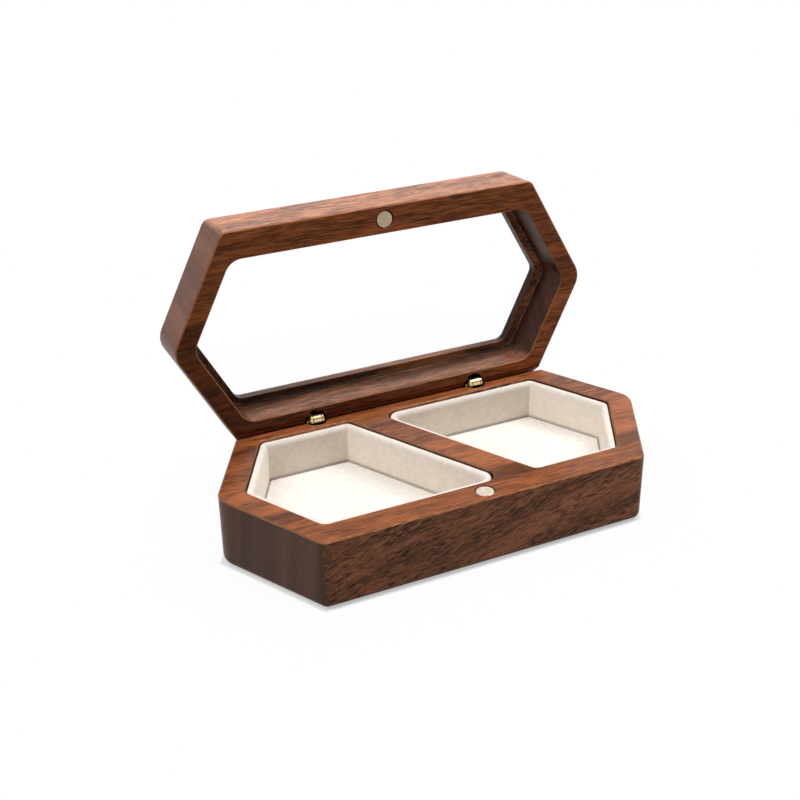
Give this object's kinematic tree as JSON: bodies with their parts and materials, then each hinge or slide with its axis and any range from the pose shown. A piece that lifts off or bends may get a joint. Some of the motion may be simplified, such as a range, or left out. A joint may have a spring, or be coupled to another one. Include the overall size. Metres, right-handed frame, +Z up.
{
  "type": "hexagonal wooden ring box",
  "caption": "Long hexagonal walnut ring box: slanting velvet-lined compartments under a framed glass lid on hidden barrel hinges, held shut by disc magnets.",
  "frame": {"origin": "centre of the flat underside of the base", "axes": "+Z up out of the underside, +X along the length from tip to tip, front of the box at -Y"},
  "size_m": [0.1036, 0.0661, 0.065],
  "materials": {
    "walnut": "sanded walnut with a satin oil finish",
    "glass": "clear polished pane",
    "velvet": "short-pile ivory velvet",
    "card": "plain grey card",
    "brass": "turned and polished",
    "nickel": "nickel-plated magnet"
  },
  "bodies": {
    "base": {"base_body": "walnut", "base_magnet": "nickel", "left_wall_card": "card", "left_wall_velvet": "velvet", "left_floor_card": "card", "left_floor_velvet": "velvet", "left_hinge_fork_barrel": "brass", "left_hinge_pin": "brass", "right_wall_card": "card", "right_wall_velvet": "velvet", "right_floor_card": "card", "right_floor_velvet": "velvet", "right_hinge_fork_barrel": "brass", "right_hinge_pin": "brass"},
    "lid": {"lid_frame": "walnut", "window_pane": "glass", "lid_magnet": "nickel", "left_hinge_tongue_barrel": "brass", "right_hinge_tongue_barrel": "brass"}
  },
  "joints": [
    {"name": "lid_hinge", "type": "hinge", "parent": "base", "child": "lid", "pos_m": [0, 0.0226, 0.0167], "axis": [1, 0, 0], "range_deg": [0, 94.7]}
  ]
}
